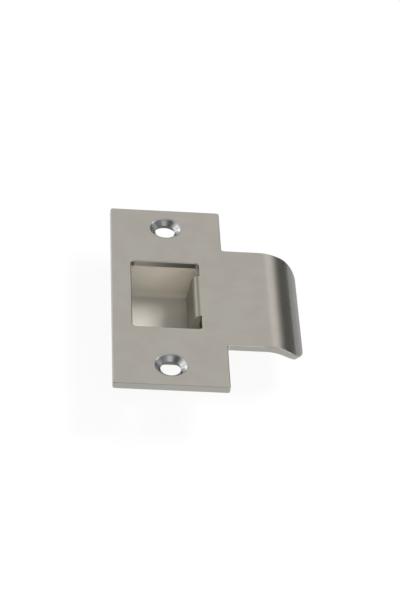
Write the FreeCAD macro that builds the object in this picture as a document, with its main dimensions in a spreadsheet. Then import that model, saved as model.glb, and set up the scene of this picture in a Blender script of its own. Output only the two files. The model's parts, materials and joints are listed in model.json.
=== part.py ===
import FreeCAD, Part
import math
import os

import Sketcher

# Door strike plate: a folded sheet with a curved lip, and a dust box behind its latch opening.
# The face looks along +Z, the lip runs out along +X, and Z = 0 is the plate's back.

doc = FreeCAD.newDocument("door_strike_plate")

# Sizes in millimetres and degrees
dims = doc.addObject("Spreadsheet::Sheet", "dims")
SIZES = [
    ("sheet_thickness", 1.65, "strike plate sheet"),
    ("plate_width", 28.575, "face plate, across"),
    ("plate_height", 69.85, "face plate, along"),
    ("plate_corner_radius", 0.7, "face plate corners"),
    ("lip_height", 37.8, "lip, along the plate"),
    ("lip_flat", 9.5, "flat run from the plate's side to the bend"),
    ("lip_bend_radius", 11.05, "inside of the lip's curve"),
    ("lip_bend_angle", 48.0, "turn of the lip's curve"),
    ("lip_leg", 0.9, "straight end after the curve"),
    ("lip_corner_radius", 5.0, "rounded ends of the lip"),
    ("lip_root_radius", 0.8, "inner corner of lip and plate"),
    ("opening_width", 17.4, "latch opening, across"),
    ("opening_length", 26.0, "latch opening, along"),
    ("opening_margin", 5.1, "opening to the plate's plain side"),
    ("opening_corner_radius", 1.0, "latch opening corners"),
    ("tongue_length", 16.0, "tongue, along the opening"),
    ("tongue_bend_radius", 0.3, "inside of the tongue's fold"),
    ("tongue_bend_angle", 82.0, "turn of the tongue's fold"),
    ("tongue_leg", 6.1, "straight part of the tongue"),
    ("tongue_corner_radius", 1.2, "corners of the tongue's free edge"),
    ("screw_margin", 7.625, "screw's centre to the plate's end"),
    ("screw_spacing", "=plate_height - 2 * screw_margin", "screw holes, centre to centre"),
    ("screw_hole_diameter", 5.1, "screw shank clearance hole"),
    ("countersink_diameter", 8.0, "countersink cone at the face"),
    ("countersink_angle", 100.0, "countersink cone"),
    ("countersink_rim_radius", 1.0, "rounding from the face into the cone"),
    ("edge_radius", 0.3, "rolled edges of the face and the opening"),
    ("box_wall", 0.8, "dust box sheet"),
    ("box_depth", 9.8, "dust box, inside depth"),
    ("box_clearance", 0.4, "opening's edge to the inside of the box"),
    ("box_corner_radius", 1.6, "upright corners, inside"),
    ("box_bend_radius", 1.0, "wall to floor, inside"),
    ("ear_width", 14.0, "fixing ear, across"),
    ("ear_reach", 5.2, "ear past the screw's centre"),
    ("ear_corner_radius", 3.0, "ear corners"),
    ("ear_hole_clearance", 1.2, "ear hole larger than the plate's hole"),
]
for row, (alias, value, note) in enumerate(SIZES, start=1):
    dims.set(f"A{row}", note)
    dims.set(f"B{row}", str(value))
    dims.setAlias(f"B{row}", alias)
doc.recompute()


def size(alias):
    return float(dims.get(alias))


def new_body(label):
    body = doc.addObject("PartDesign::Body", label)
    body.Label = label
    return body


def new_sketch(body, name, role):
    sketch = body.newObject("Sketcher::SketchObject", name)
    plane = next(f for f in body.Origin.OriginFeatures if f.Role == role)
    sketch.AttachmentSupport = [(plane, "")]
    sketch.MapMode = "FlatFace"
    return sketch


def bind(sketch, name, constraint, expression):
    index = sketch.addConstraint(constraint)
    sketch.renameConstraint(index, name)
    sketch.setExpression(f"Constraints.{name}", expression)


def rectangle(sketch, left, width, height, radius):
    """Rounded rectangle about the X axis, its left side the given distance before the origin."""
    x0, x1, y1, r = -left[0], width[0] - left[0], height[0] / 2, radius[0]
    ends = [(x0 + r, -y1), (x1 - r, -y1), (x1, r - y1), (x1, y1 - r)]
    ends += [(x1 - r, y1), (x0 + r, y1), (x0, y1 - r), (x0, r - y1)]
    points = [FreeCAD.Vector(x, y, 0) for x, y in ends]
    middles = [(x1 - r, r - y1, -45), (x1 - r, y1 - r, 45), (x0 + r, y1 - r, 135), (x0 + r, r - y1, 225)]
    for i, (x, y, turn) in enumerate(middles):
        spot = FreeCAD.Vector(x + r * math.cos(math.radians(turn)), y + r * math.sin(math.radians(turn)), 0)
        sketch.addGeometry(Part.LineSegment(points[2 * i], points[2 * i + 1]), False)
        sketch.addGeometry(Part.Arc(points[2 * i + 1], spot, points[(2 * i + 2) % 8]), False)
    for i in range(8):
        sketch.addConstraint(Sketcher.Constraint("Tangent", i, 2, (i + 1) % 8, 1))
    for i in (3, 5, 7):
        sketch.addConstraint(Sketcher.Constraint("Equal", 1, i))
    sketch.addConstraint(Sketcher.Constraint("Horizontal", 0))
    sketch.addConstraint(Sketcher.Constraint("Vertical", 2))
    sketch.addConstraint(Sketcher.Constraint("Horizontal", 4))
    sketch.addConstraint(Sketcher.Constraint("Symmetric", 6, 1, 6, 2, -1))
    bind(sketch, "left", Sketcher.Constraint("DistanceX", 6, 1, -1, 1, left[0]), left[1])
    bind(sketch, "width", Sketcher.Constraint("DistanceX", 6, 1, 2, 2, width[0]), width[1])
    bind(sketch, "height", Sketcher.Constraint("DistanceY", 0, 1, 4, 2, height[0]), height[1])
    bind(sketch, "radius", Sketcher.Constraint("Radius", 1, r), radius[1])


def screw_pair(sketch, diameter, expression):
    """Two equal circles at the screws, on the Y axis either side of the origin."""
    spacing = size("screw_spacing")
    for y in (spacing / 2, -spacing / 2):
        circle = Part.Circle(FreeCAD.Vector(0, y, 0), FreeCAD.Vector(0, 0, 1), diameter / 2)
        sketch.addGeometry(circle, False)
    sketch.addConstraint(Sketcher.Constraint("PointOnObject", 0, 3, -2))
    sketch.addConstraint(Sketcher.Constraint("Symmetric", 0, 3, 1, 3, -1))
    sketch.addConstraint(Sketcher.Constraint("Equal", 0, 1))
    bind(sketch, "diameter", Sketcher.Constraint("Diameter", 0, diameter), expression)
    bind(sketch, "spacing", Sketcher.Constraint("DistanceY", 1, 3, 0, 3, spacing), "dims.screw_spacing")


def folded_strip(sketch, side, root, bend_at, radius, angle, leg):
    """Side view of a sheet that runs flat to a bend line, turns down and ends in a straight leg."""
    thick = size("sheet_thickness")
    turn = math.radians(angle[0])
    centre = FreeCAD.Vector(bend_at[0], -radius[0], 0)
    across = FreeCAD.Vector(side * math.sin(turn), math.cos(turn), 0)
    along = FreeCAD.Vector(side * math.cos(turn), -math.sin(turn), 0)
    half = FreeCAD.Vector(side * math.sin(turn / 2), math.cos(turn / 2), 0)
    low = [FreeCAD.Vector(root[0], 0, 0), FreeCAD.Vector(bend_at[0], 0, 0)]
    low += [centre + across * radius[0], centre + across * radius[0] + along * leg[0]]
    high = [FreeCAD.Vector(root[0], thick, 0), FreeCAD.Vector(bend_at[0], thick, 0)]
    high += [centre + across * (radius[0] + thick), low[3] + across * thick]
    sketch.addGeometry(Part.LineSegment(low[0], low[1]), False)
    sketch.addGeometry(Part.Arc(low[1], centre + half * radius[0], low[2]), False)
    sketch.addGeometry(Part.LineSegment(low[2], low[3]), False)
    sketch.addGeometry(Part.LineSegment(low[3], high[3]), False)
    sketch.addGeometry(Part.LineSegment(high[3], high[2]), False)
    sketch.addGeometry(Part.Arc(high[2], centre + half * (radius[0] + thick), high[1]), False)
    sketch.addGeometry(Part.LineSegment(high[1], high[0]), False)
    sketch.addGeometry(Part.LineSegment(high[0], low[0]), False)
    # A sketched arc always runs counter-clockwise, so its ends swap with the side
    first, last = (2, 1) if side > 0 else (1, 2)
    sketch.addConstraint(Sketcher.Constraint("Tangent", 0, 2, 1, first))
    sketch.addConstraint(Sketcher.Constraint("Tangent", 1, last, 2, 1))
    sketch.addConstraint(Sketcher.Constraint("Coincident", 2, 2, 3, 1))
    sketch.addConstraint(Sketcher.Constraint("Coincident", 3, 2, 4, 1))
    sketch.addConstraint(Sketcher.Constraint("Tangent", 4, 2, 5, last))
    sketch.addConstraint(Sketcher.Constraint("Tangent", 5, first, 6, 1))
    sketch.addConstraint(Sketcher.Constraint("Coincident", 6, 2, 7, 1))
    sketch.addConstraint(Sketcher.Constraint("Coincident", 7, 2, 0, 1))
    sketch.addConstraint(Sketcher.Constraint("Coincident", 1, 3, 5, 3))
    sketch.addConstraint(Sketcher.Constraint("Horizontal", 0))
    sketch.addConstraint(Sketcher.Constraint("Horizontal", 6))
    sketch.addConstraint(Sketcher.Constraint("Vertical", 7))
    sketch.addConstraint(Sketcher.Constraint("Perpendicular", 2, 3))
    sketch.addConstraint(Sketcher.Constraint("Parallel", 2, 4))
    sketch.addConstraint(Sketcher.Constraint("PointOnObject", 0, 1, -1))
    bind(sketch, "root", Sketcher.Constraint("DistanceX", -1, 1, 0, 1, root[0]), root[1])
    bind(sketch, "bend_at", Sketcher.Constraint("DistanceX", -1, 1, 0, 2, bend_at[0]), bend_at[1])
    bind(sketch, "radius", Sketcher.Constraint("Radius", 1, radius[0]), radius[1])
    bind(sketch, "thickness", Sketcher.Constraint("Distance", 7, thick), "dims.sheet_thickness")
    bind(sketch, "leg", Sketcher.Constraint("Distance", 2, leg[0]), leg[1])
    slope = -turn if side > 0 else turn - math.pi
    bind(sketch, "slope", Sketcher.Constraint("Angle", 2, slope), angle[1])
    return (low[3] + high[3]) * 0.5


def pad(body, name, sketch, length, side="One side", down=False):
    feature = body.newObject("PartDesign::Pad", name)
    feature.Profile = sketch
    feature.SideType = side
    feature.Reversed = down
    feature.setExpression("Length", length)
    doc.recompute()
    return feature


def pocket(body, name, sketch, up, length=None):
    before = body.Tip.Shape.Volume
    feature = body.newObject("PartDesign::Pocket", name)
    feature.Profile = sketch
    feature.Reversed = up
    if length is None:
        feature.Type = "ThroughAll"
    else:
        feature.setExpression("Length", length)
    doc.recompute()
    if not feature.Shape.Volume < before:
        raise RuntimeError(f"{name} removes nothing")
    return feature


def edges_at(shape, points):
    """Names of the edges whose midpoints lie at the given points."""
    names = []
    for point in points:
        found = []
        for number, edge in enumerate(shape.Edges, start=1):
            middle = edge.valueAt(edge.getParameterByLength(edge.Length / 2))
            if middle.distanceToPoint(point) < 1e-4:
                found.append(f"Edge{number}")
        if not found:
            raise RuntimeError(f"no edge at {point}")
        names += found
    return names


def circles_at(shape, centres):
    """Names of the round edges that are centred on the given points."""
    names = []
    for number, edge in enumerate(shape.Edges, start=1):
        if isinstance(edge.Curve, Part.Circle):
            if any(edge.Curve.Center.distanceToPoint(centre) < 1e-4 for centre in centres):
                names.append(f"Edge{number}")
    return names


def fillet(body, name, names, radius):
    base = body.Tip
    feature = body.newObject("PartDesign::Fillet", name)
    feature.Base = (base, names)
    feature.setExpression("Radius", radius)
    doc.recompute()
    return feature


def pairs(x, y, z):
    """The same point on both sides of the XZ plane."""
    return [FreeCAD.Vector(x, y, z), FreeCAD.Vector(x, -y, z)]


thick = size("sheet_thickness")
half_width = size("plate_width") / 2
opening_left = half_width - size("opening_margin")
opening_right = size("opening_width") - opening_left
LEFT = "dims.plate_width / 2 - dims.opening_margin"
RIGHT = "dims.opening_width + dims.opening_margin - dims.plate_width / 2"

# Strike plate: the flat face plate
plate = new_body("strike_plate")
outline = new_sketch(plate, "plate_outline", "XY_Plane")
rectangle(
    outline,
    (half_width, "dims.plate_width / 2"),
    (size("plate_width"), "dims.plate_width"),
    (size("plate_height"), "dims.plate_height"),
    (size("plate_corner_radius"), "dims.plate_corner_radius"),
)
pad(plate, "face_plate", outline, "dims.sheet_thickness")

# Lip that carries the latch bolt in, curved away from the face
lip_profile = new_sketch(plate, "lip_profile", "XZ_Plane")
lip_end = folded_strip(
    lip_profile,
    1,
    (half_width - thick, "dims.plate_width / 2 - dims.sheet_thickness"),
    (half_width + size("lip_flat"), "dims.plate_width / 2 + dims.lip_flat"),
    (size("lip_bend_radius"), "dims.lip_bend_radius"),
    (size("lip_bend_angle"), "-dims.lip_bend_angle"),
    (size("lip_leg"), "dims.lip_leg"),
)
pad(plate, "lip", lip_profile, "dims.lip_height", side="Symmetric")

# Latch opening
mouth = new_sketch(plate, "opening_outline", "XY_Plane")
rectangle(
    mouth,
    (opening_left, LEFT),
    (size("opening_width"), "dims.opening_width"),
    (size("opening_length"), "dims.opening_length"),
    (size("opening_corner_radius"), "dims.opening_corner_radius"),
)
pocket(plate, "latch_opening", mouth, up=True)

# Inner corners at the lip's root, and the lip's rounded ends
half_lip = size("lip_height") / 2
roots = pairs(half_width, half_lip, thick / 2)
fillet(plate, "lip_roots", edges_at(plate.Tip.Shape, roots), "dims.lip_root_radius")
ends = pairs(lip_end.x, half_lip, lip_end.y)
fillet(plate, "lip_corners", edges_at(plate.Tip.Shape, ends), "dims.lip_corner_radius")

# Tongue folded down from the opening's lip side
tongue_profile = new_sketch(plate, "tongue_profile", "XZ_Plane")
tongue_end = folded_strip(
    tongue_profile,
    -1,
    (opening_right + thick, f"{RIGHT} + dims.sheet_thickness"),
    (opening_right, RIGHT),
    (size("tongue_bend_radius"), "dims.tongue_bend_radius"),
    (size("tongue_bend_angle"), "dims.tongue_bend_angle - 180"),
    (size("tongue_leg"), "dims.tongue_leg"),
)
pad(plate, "tongue", tongue_profile, "dims.tongue_length", side="Symmetric")
ends = pairs(tongue_end.x, size("tongue_length") / 2, tongue_end.y)
fillet(plate, "tongue_corners", edges_at(plate.Tip.Shape, ends), "dims.tongue_corner_radius")

# Countersunk screw holes on the centre line
centres = new_sketch(plate, "screw_centres", "XY_Plane")
centres.setExpression("AttachmentOffset.Base.z", "dims.sheet_thickness")
screw_pair(centres, size("screw_hole_diameter"), "dims.screw_hole_diameter")
doc.recompute()
solid_before = plate.Tip.Shape.Volume
holes = plate.newObject("PartDesign::Hole", "screw_holes")
holes.Profile = centres
holes.ThreadType = "None"
holes.DepthType = "ThroughAll"
holes.HoleCutType = "Countersink"
holes.HoleCutCustomValues = True
holes.setExpression("Diameter", "dims.screw_hole_diameter")
holes.setExpression("HoleCutDiameter", "dims.countersink_diameter")
holes.setExpression("HoleCutCountersinkAngle", "dims.countersink_angle")
doc.recompute()
if not holes.Shape.Volume < solid_before:
    raise RuntimeError("screw_holes removes nothing")
screws = pairs(0, size("screw_spacing") / 2, thick)
rims = circles_at(plate.Tip.Shape, screws)
fillet(plate, "countersink_rims", rims, "dims.countersink_rim_radius")

# Edges that the press rolls over on the face side, each rounding running on along its outline
sides = [FreeCAD.Vector(-half_width, 0, thick), FreeCAD.Vector(-opening_left, 0, thick)]
fillet(plate, "rolled_edges", edges_at(plate.Tip.Shape, sides), "dims.edge_radius")

# Dust box: a drawn tub behind the opening, with two fixing ears under the screw holes
box = new_body("dust_box")
wall = size("box_wall")
gap = size("box_clearance")
depth = size("box_depth")
tub_left = opening_left + gap + wall
tub_width = size("opening_width") + 2 * (gap + wall)
tub_length = size("opening_length") + 2 * (gap + wall)
tub = new_sketch(box, "tub_outline", "XY_Plane")
rectangle(
    tub,
    (tub_left, f"{LEFT} + dims.box_clearance + dims.box_wall"),
    (tub_width, "dims.opening_width + 2 * (dims.box_clearance + dims.box_wall)"),
    (tub_length, "dims.opening_length + 2 * (dims.box_clearance + dims.box_wall)"),
    (size("box_corner_radius") + wall, "dims.box_corner_radius + dims.box_wall"),
)
pad(box, "tub", tub, "dims.box_depth + dims.box_wall", down=True)
middle = tub_width / 2 - tub_left
floor_edge = edges_at(box.Tip.Shape, [FreeCAD.Vector(middle, tub_length / 2, -depth - wall)])
fillet(box, "tub_floor", floor_edge, "dims.box_bend_radius + dims.box_wall")

# Fixing ears, flush with the plate's back
ear = new_sketch(box, "ear_outline", "XY_Plane")
ear_length = size("screw_spacing") + 2 * size("ear_reach")
rectangle(
    ear,
    (size("ear_width") / 2, "dims.ear_width / 2"),
    (size("ear_width"), "dims.ear_width"),
    (ear_length, "dims.screw_spacing + 2 * dims.ear_reach"),
    (size("ear_corner_radius"), "dims.ear_corner_radius"),
)
pad(box, "ears", ear, "dims.box_wall", down=True)

# Inside of the tub
hollow = new_sketch(box, "hollow_outline", "XY_Plane")
rectangle(
    hollow,
    (tub_left - wall, f"{LEFT} + dims.box_clearance"),
    (tub_width - 2 * wall, "dims.opening_width + 2 * dims.box_clearance"),
    (tub_length - 2 * wall, "dims.opening_length + 2 * dims.box_clearance"),
    (size("box_corner_radius"), "dims.box_corner_radius"),
)
pocket(box, "hollow", hollow, up=False, length="dims.box_depth")
floor_edge = edges_at(box.Tip.Shape, [FreeCAD.Vector(middle, tub_length / 2 - wall, -depth)])
fillet(box, "hollow_floor", floor_edge, "dims.box_bend_radius")

# Clearance holes in the ears
passes = new_sketch(box, "ear_holes_outline", "XY_Plane")
pass_diameter = size("screw_hole_diameter") + size("ear_hole_clearance")
screw_pair(passes, pass_diameter, "dims.screw_hole_diameter + dims.ear_hole_clearance")
pocket(box, "ear_holes", passes, up=False)

doc.recompute()
for item in doc.Objects:
    if {"Invalid", "Error"} & set(item.State):
        raise RuntimeError(f"{item.Name} failed: {item.State}")
os.makedirs("parts", exist_ok=True)
for body in (plate, box):
    shape = body.Shape
    if shape.isNull() or not shape.isValid() or len(shape.Solids) != 1:
        raise RuntimeError(f"{body.Label} is not one valid solid")
    shape.exportStep(f"parts/{body.Label}.step")
    print(body.Label, "volume", round(shape.Volume, 1))
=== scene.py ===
"""Looks of a door strike plate: satin nickel sheet, polished countersinks and a matte dust box."""

import json
import math

import bpy
from mathutils import Matrix, Vector


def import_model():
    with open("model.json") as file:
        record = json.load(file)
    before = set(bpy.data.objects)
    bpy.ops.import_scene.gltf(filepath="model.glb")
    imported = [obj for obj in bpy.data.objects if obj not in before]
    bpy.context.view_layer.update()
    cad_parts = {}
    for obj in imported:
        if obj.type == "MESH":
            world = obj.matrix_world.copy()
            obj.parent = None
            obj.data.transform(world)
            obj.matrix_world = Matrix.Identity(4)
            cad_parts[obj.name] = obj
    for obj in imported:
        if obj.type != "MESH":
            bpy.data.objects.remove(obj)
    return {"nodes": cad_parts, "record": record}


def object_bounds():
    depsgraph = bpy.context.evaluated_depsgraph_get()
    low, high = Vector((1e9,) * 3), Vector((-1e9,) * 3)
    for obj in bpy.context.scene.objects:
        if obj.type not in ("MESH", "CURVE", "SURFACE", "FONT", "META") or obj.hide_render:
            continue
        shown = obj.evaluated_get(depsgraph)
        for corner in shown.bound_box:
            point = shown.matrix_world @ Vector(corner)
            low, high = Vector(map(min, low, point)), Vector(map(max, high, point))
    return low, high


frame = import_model()
cad_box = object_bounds()
MM = 0.001
WHITE = (1, 1, 1, 1)

# Places on the part that its finish follows, in metres
SCREWS = next(m for m in frame["record"]["mounts"] if m["name"] == "screw_holes")["dims"]
SCREW_Y = SCREWS["spacing_y_mm"] / 2 * MM
COUNTERSINK_RADIUS = 4.35 * MM  # at the rounded rim
POLISH_RADIUS = 0.97 * COUNTERSINK_RADIUS  # the polish is full within it
FOLD_X = 8.2 * MM  # the opening's lip side, where the tongue folds down
FOLD_BLEND = 0.6 * MM
TONGUE_Y = 8.1 * MM  # just past the tongue's ends
CUT_Y = 13.5 * MM  # just past the opening's ends
SIDE_X = 14.4 * MM  # just past the plate's side
BEND_X = 23.5 * MM  # just before the lip's curve
EAR_Y = 16 * MM  # the box's ears reach past it

# Where masks start and where they are full, in parts of the surface's unit normal
ROLLED_NORMAL = (0.98, 0.93)
STEEP_NORMAL = (0.2, 0.4)
END_NORMAL = (0.75, 0.95)
SIDE_NORMAL = (0.93, 0.99)
TIP_NORMAL_X = (0.4, 0.6)
TIP_NORMAL_Z = (-0.4, -0.6)
LIP_END_NORMAL = (0.84, 0.74)
HOLE_NORMAL = (0.4, 0.15)
BARE_NORMAL = (0.4, 0.2)
# The opening's cut faces take less of the sheared faces' darker colour, which is partly painted shade
CUT_SHARE = 0.6  # how much of the sheared look the opening's cut faces take

# Colours of the plate and the box; several of the plate's are painted shade
SATIN = ((0.61, 0.577, 0.51, 1), (0.635, 0.605, 0.54, 1))
# Painted shade: the tongue's face, darkened to stand in for the dim box that it mirrors
TONGUE_PAINTED_SHADE = (0.31, 0.294, 0.257, 1)
CONE = (0.53, 0.53, 0.535, 1)
# Painted shade: the steep hole walls inside the countersinks, nearly black
HOLE_WALL_SHADE = (0.13, 0.13, 0.13, 1)
# Painted shade: the plate's rolled edges, darkened to dim their bright lines
ROLLED_EDGE_SHADE = (0.40, 0.39, 0.37, 1)
# Painted shade: the lip's end, darkened to stand in for a dim surrounding that it mirrors
LIP_END_SHADE = (0.31, 0.307, 0.3, 1)
# A duller cut finish on the sheared faces, darkened further as painted shade
SHEARED_EDGE_AND_SHADE = (0.38, 0.37, 0.345, 1)
COAT = ((0.505, 0.486, 0.443, 1), (0.53, 0.51, 0.466, 1))
BARE_EDGE = (0.22, 0.21, 0.20, 1)

# Roughness, as a range where a pattern drives it, and the coating's specular level
FACE_ROUGH = (0.16, 0.20)
CONE_ROUGH = (0.19, 0.25)
COAT_ROUGH = (0.7, 0.8)
LIP_END_ROUGH = 0.34
ROLLED_ROUGH = 0.30
TONGUE_ROUGH = 0.42
SHEARED_ROUGH = 0.36
COAT_SPECULAR = 0.15

# Patterns: scales per metre, the part of a noise that is used, and bumps as strength and distance
BLOTCH_SCALE = 170.0
GRAIN_SCALE = (6000.0, 400.0, 6000.0)
FROST_SCALE = 3500.0
COAT_BLOTCH_SCALE = 140.0
PEEL_SCALE = 1200.0
FINE_DETAIL = 3.0
COLOUR_PART = (0.35, 0.65)
ROUGH_PART = (0.3, 0.7)
GRAIN_BUMP = (0.04, 0.02 * MM)
PEEL_BUMP = (0.15, 0.05 * MM)

# Camera, fitted to the plate's outline in the photograph
VIEW_AZIMUTH = math.radians(-6.32)
VIEW_ELEVATION = math.radians(38.763)
VIEW_ROLL = math.radians(6.682)
VIEW_TARGET = Vector((8.204, 0.273, 0)) * MM
VIEW_DISTANCE = 615.34 * MM
LENS = 146.2
SENSOR_WIDTH = 36.0

# Floor: half its width in metres, its paper, and the share of plain white in what is seen of it
FLOOR_HALF = 4.0
PAPER = (0.8, 0.8, 0.8, 1)
FLOOR_WHITE = 0.92

# Bright areas of the room: azimuth, elevation, inner and outer half angle in degrees, and strength
ROOM_LEVEL = 0.11
AREAS = (
    (168, 33, 12, 40, 1.1),
    (-57, 42, 8, 36, 0.8),
    (-66, 26, 5, 16, 0.7),
    (-34, 9, 6, 20, 1.9),
    (-19, 25, 5, 15, 0.16),
    (7, 38, 12, 32, 0.52),
    (25, 31, 2, 9, 0.2),
    (53, 44, 3, 11, 2.4),
    (62, 66, 6, 26, 0.5),
    (119, 29, 4, 14, 6.0),
    (78, 10, 14, 34, 0.45),
    (138, 11, 10, 28, 0.35),
    (-95, 12, 12, 30, 0.4),
    (-140, 22, 10, 30, 0.45),
    (0, 84, 8, 20, 0.45),
)

# Lamps for the matte surfaces: place or heading, size in metres, power in watts and tint
KEY_PLACE = Vector((0.616, 0.455, 0.7))
KEY_AIM = Vector((0, 0, -1))
KEY_SIZE = (0.35, 0.63)
KEY_POWER = 16.5
KEY_TINT = (1, 1, 1)
FILL_HEADING = (-172, 24)
FILL_SIZE = (0.6, 0.35)
FILL_POWER = 2.5
FILL_TINT = (1, 0.85, 0.62)


class Graph:
    """Short spellings for the nodes of one material or world."""

    def __init__(self, owner):
        owner.use_nodes = True
        self.tree = owner.node_tree
        self.tree.nodes.clear()

    def add(self, kind, sockets=None, **settings):
        node = self.tree.nodes.new(kind)
        for name, value in settings.items():
            setattr(node, name, value)
        for name, value in (sockets or {}).items():
            self.put(node.inputs[name], value)
        return node

    def put(self, socket, value):
        if isinstance(value, bpy.types.NodeSocket):
            self.tree.links.new(value, socket)
        else:
            socket.default_value = value

    def fill(self, sockets, values):
        for socket, value in zip(sockets, values):
            self.put(socket, value)

    def math(self, operation, *values):
        node = self.add("ShaderNodeMath", operation=operation)
        self.fill(node.inputs, values)
        return node.outputs[0]

    def vector(self, operation, *values):
        node = self.add("ShaderNodeVectorMath", operation=operation)
        self.fill(node.inputs, values)
        return node

    def between(self, value, low, high, start=0.0, end=1.0):
        node = self.add("ShaderNodeMapRange", interpolation_type="SMOOTHSTEP")
        self.fill(node.inputs, (value, low, high, start, end))
        return node.outputs[0]

    def noise(self, position, scale, detail=2.0):
        node = self.add("ShaderNodeTexNoise", {"Vector": position, "Scale": scale, "Detail": detail})
        return node.outputs["Fac"]

    def bump(self, height, strength, distance):
        node = self.add("ShaderNodeBump", {"Strength": strength, "Distance": distance, "Height": height})
        return node.outputs["Normal"]

    def blend(self, factor, first, second):
        node = self.add("ShaderNodeMix", data_type="FLOAT")
        self.fill((node.inputs[0], node.inputs[2], node.inputs[3]), (factor, first, second))
        return node.outputs[0]

    def mix(self, factor, first, second):
        node = self.add("ShaderNodeMix", data_type="RGBA")
        self.fill((node.inputs[0], node.inputs[6], node.inputs[7]), (factor, first, second))
        return node.outputs[2]


def surface(name, metallic):
    """A new material with its graph, its position and normal on the part, and its shader."""
    material = bpy.data.materials.new(name)
    graph = Graph(material)
    place = graph.add("ShaderNodeTexCoord")
    shader = graph.add("ShaderNodeBsdfPrincipled", {"Metallic": metallic})
    output = graph.add("ShaderNodeOutputMaterial")
    graph.put(output.inputs["Surface"], shader.outputs["BSDF"])
    return material, graph, place.outputs["Object"], place.outputs["Normal"], shader


def satin_nickel():
    """Plated sheet: a satin face, duller cut edges that are partly painted shade, painted shade on the
    plate's rolled edges, the tongue, the lip end and the screw hole walls, and polished countersinks.
    """
    material, g, position, normal, shader = surface("satin_nickel", 1.0)
    x, y, z = g.add("ShaderNodeSeparateXYZ", {"Vector": position}).outputs
    nx, ny, nz = g.add("ShaderNodeSeparateXYZ", {"Vector": normal}).outputs
    off_y = g.math("ABSOLUTE", y)
    flank = g.math("ABSOLUTE", ny)

    # Masks of the countersinks, the tongue and the opening's cut faces
    across = g.math("POWER", x, 2.0)
    along = g.math("POWER", g.math("SUBTRACT", off_y, SCREW_Y), 2.0)
    reach = g.math("SQRT", g.math("ADD", across, along))
    sunk = g.between(reach, POLISH_RADIUS, COUNTERSINK_RADIUS, 1.0, 0.0)
    within = g.between(x, FOLD_X, FOLD_X - FOLD_BLEND)
    inner = g.math("MULTIPLY", within, g.math("GREATER_THAN", x, -FOLD_X))
    tongue = g.math("MULTIPLY", inner, g.math("LESS_THAN", off_y, TONGUE_Y))
    cut = g.math("MULTIPLY", inner, g.math("LESS_THAN", off_y, CUT_Y))
    plain = g.math("SUBTRACT", 1.0, g.math("MAXIMUM", sunk, tongue))

    # Masks of the rolled edges, which leave out the lip's curve, and of the plate's own, which take
    # painted shade
    flat_or_steep = g.math("MAXIMUM", g.math("LESS_THAN", x, BEND_X), g.between(flank, *STEEP_NORMAL))
    tilted = g.math("MULTIPLY", g.between(nz, *ROLLED_NORMAL), flat_or_steep)
    rolled = g.math("MULTIPLY", tilted, plain)
    plate_edge_shade = g.math("MULTIPLY", rolled, g.math("LESS_THAN", x, SIDE_X))

    # Masks of the sheared faces (a duller cut finish, partly painted shade), and of the tongue without
    # its cut ends and the lip's end, which both take painted shade
    ends = g.between(flank, *END_NORMAL)
    upright = g.between(g.math("ABSOLUTE", nx), *SIDE_NORMAL)
    sides = g.math("MULTIPLY", upright, g.math("GREATER_THAN", z, 0.0))
    tip = g.math("MULTIPLY", g.between(nx, *TIP_NORMAL_X), g.between(nz, *TIP_NORMAL_Z))
    outside = g.math("MULTIPLY", plain, g.between(cut, 0.0, 1.0, 1.0, CUT_SHARE))
    sheared_and_shade = g.math("MULTIPLY", g.math("MAXIMUM", g.math("MAXIMUM", ends, sides), tip), outside)
    # Painted shade on the tongue's face, without its cut ends
    tongue_painted_shade = g.math("MULTIPLY", tongue, g.math("SUBTRACT", 1.0, ends))
    # Painted shade on the lip's end
    lip_end_painted_shade = g.math("MULTIPLY", g.between(nz, *LIP_END_NORMAL), g.math("GREATER_THAN", x, BEND_X))

    blotch = g.noise(position, BLOTCH_SCALE, FINE_DETAIL)
    grain = g.noise(g.vector("MULTIPLY", position, GRAIN_SCALE).outputs["Vector"], 1.0)
    frost = g.noise(position, FROST_SCALE, FINE_DETAIL)

    # Polished countersink colour, with painted shade on the steep hole walls
    polished = g.mix(g.between(nz, *HOLE_NORMAL), CONE, HOLE_WALL_SHADE)
    colour = g.mix(g.between(blotch, *COLOUR_PART), *SATIN)
    colour = g.mix(tongue_painted_shade, colour, TONGUE_PAINTED_SHADE)
    colour = g.mix(sunk, colour, polished)
    # Painted shade along the plate's rolled edges
    colour = g.mix(plate_edge_shade, colour, ROLLED_EDGE_SHADE)
    colour = g.mix(lip_end_painted_shade, colour, LIP_END_SHADE)
    # Sheared faces: a duller cut finish, partly painted shade
    colour = g.mix(sheared_and_shade, colour, SHEARED_EDGE_AND_SHADE)
    g.put(shader.inputs["Base Color"], colour)

    rough = g.between(grain, *ROUGH_PART, *FACE_ROUGH)
    rough = g.blend(lip_end_painted_shade, rough, LIP_END_ROUGH)
    rough = g.blend(rolled, rough, ROLLED_ROUGH)
    rough = g.blend(tongue, rough, TONGUE_ROUGH)
    rough = g.blend(sunk, rough, g.between(blotch, *ROUGH_PART, *CONE_ROUGH))
    rough = g.blend(sheared_and_shade, rough, SHEARED_ROUGH)
    g.put(shader.inputs["Roughness"], rough)
    g.put(shader.inputs["Normal"], g.bump(g.math("ADD", grain, frost), *GRAIN_BUMP))
    return material


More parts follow.
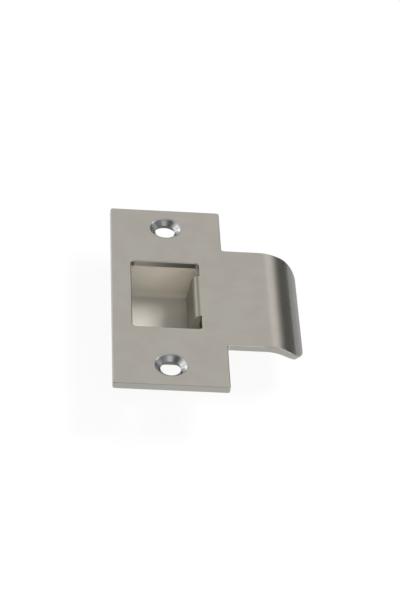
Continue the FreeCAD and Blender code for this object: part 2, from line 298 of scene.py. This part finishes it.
def box_sheet():
    """Matte pale coating on thin sheet, with bare metal on the cut edges of the ears."""
    material, g, position, normal, shader = surface("box_sheet", 0.0)
    shader.inputs["Specular IOR Level"].default_value = COAT_SPECULAR
    off_y = g.math("ABSOLUTE", g.add("ShaderNodeSeparateXYZ", {"Vector": position}).outputs["Y"])
    flat = g.math("ABSOLUTE", g.add("ShaderNodeSeparateXYZ", {"Vector": normal}).outputs["Z"])
    bare = g.math("MULTIPLY", g.math("GREATER_THAN", off_y, EAR_Y), g.between(flat, *BARE_NORMAL))
    blotch = g.noise(position, COAT_BLOTCH_SCALE, FINE_DETAIL)
    coat = g.mix(g.between(blotch, *COLOUR_PART), *COAT)
    g.put(shader.inputs["Base Color"], g.mix(bare, coat, BARE_EDGE))
    g.put(shader.inputs["Roughness"], g.between(blotch, *ROUGH_PART, *COAT_ROUGH))
    g.put(shader.inputs["Normal"], g.bump(g.noise(position, PEEL_SCALE), *PEEL_BUMP))
    return material


def dress(node, material):
    """Gives a CAD node its material."""
    node.data.materials.clear()
    node.data.materials.append(material)


def floor():
    """White floor that the part stands on. It looks white and keeps the part's shadow."""
    half = FLOOR_HALF
    mesh = bpy.data.meshes.new("floor")
    corners = [(-half, -half, 0), (half, -half, 0), (half, half, 0), (-half, half, 0)]
    mesh.from_pydata(corners, [], [(0, 1, 2, 3)])
    plane = bpy.data.objects.new("floor", mesh)
    plane.location.z = cad_box[0].z
    bpy.context.scene.collection.objects.link(plane)
    material = bpy.data.materials.new("floor_white")
    g = Graph(material)
    ray = g.add("ShaderNodeLightPath").outputs
    seen = g.math("MAXIMUM", ray["Is Camera Ray"], ray["Is Glossy Ray"])
    seen = g.math("MAXIMUM", seen, ray["Is Transmission Ray"])
    paper = g.add("ShaderNodeBsdfDiffuse", {"Color": PAPER})
    glow = g.add("ShaderNodeEmission", {"Color": WHITE, "Strength": 1.0})
    both = g.add("ShaderNodeMixShader", {"Fac": g.math("MULTIPLY", seen, FLOOR_WHITE)})
    g.put(both.inputs[1], paper.outputs[0])
    g.put(both.inputs[2], glow.outputs[0])
    output = g.add("ShaderNodeOutputMaterial")
    g.put(output.inputs["Surface"], both.outputs[0])
    mesh.materials.append(material)


def heading(azimuth, elevation):
    """Unit vector towards a part of the room, from degrees. Azimuth 0 is +Y and 90 is +X."""
    a = math.radians(azimuth)
    e = math.radians(elevation)
    return Vector((math.sin(a) * math.cos(e), math.cos(a) * math.cos(e), math.sin(e)))


def world():
    """A dim room with soft bright areas, which the metal mirrors."""
    sky = bpy.data.worlds.new("studio")
    bpy.context.scene.world = sky
    g = Graph(sky)
    direction = g.add("ShaderNodeTexCoord").outputs["Generated"]
    level = ROOM_LEVEL
    for azimuth, elevation, inner, outer, strength in AREAS:
        near = g.vector("DOT_PRODUCT", direction, heading(azimuth, elevation)).outputs["Value"]
        rim = math.cos(math.radians(outer))
        core = math.cos(math.radians(inner))
        level = g.math("ADD", level, g.between(near, rim, core, 0.0, strength))
    glow = g.add("ShaderNodeBackground", {"Color": WHITE, "Strength": level})
    output = g.add("ShaderNodeOutputWorld")
    g.put(output.inputs["Surface"], glow.outputs[0])


def softbox(name, place, aim, size, power, tint):
    """Soft lamp for the matte surfaces. The metal doesn't show it."""
    lamp = bpy.data.lights.new(name, "AREA")
    lamp.shape = "RECTANGLE"
    lamp.size, lamp.size_y = size
    lamp.energy = power
    lamp.color = tint
    holder = bpy.data.objects.new(name, lamp)
    holder.location = place
    holder.rotation_mode = "QUATERNION"
    holder.rotation_quaternion = aim.to_track_quat("-Z", "Y")
    holder.visible_camera = False
    holder.visible_glossy = False
    bpy.context.scene.collection.objects.link(holder)


def camera():
    """Camera at the photograph's viewing angle, with its roll."""
    data = bpy.data.cameras.new("camera")
    data.sensor_width = SENSOR_WIDTH
    data.lens = LENS
    holder = bpy.data.objects.new("camera", data)
    a = VIEW_AZIMUTH
    e = VIEW_ELEVATION
    back = Vector((math.sin(a) * math.cos(e), -math.cos(a) * math.cos(e), math.sin(e)))
    level = back.to_track_quat("Z", "Y").to_matrix()
    turned = level @ Matrix.Rotation(VIEW_ROLL, 3, "Z")
    holder.matrix_world = Matrix.Translation(VIEW_TARGET + back * VIEW_DISTANCE) @ turned.to_4x4()
    bpy.context.scene.collection.objects.link(holder)
    bpy.context.scene.camera = holder


dress(frame["nodes"]["strike_plate"], satin_nickel())
dress(frame["nodes"]["dust_box"], box_sheet())
floor()
world()
softbox("key", KEY_PLACE, KEY_AIM, KEY_SIZE, KEY_POWER, KEY_TINT)
fill_place = heading(*FILL_HEADING)
softbox("fill", fill_place, -fill_place, FILL_SIZE, FILL_POWER, FILL_TINT)
camera()
bpy.context.scene.view_settings.view_transform = "Standard"
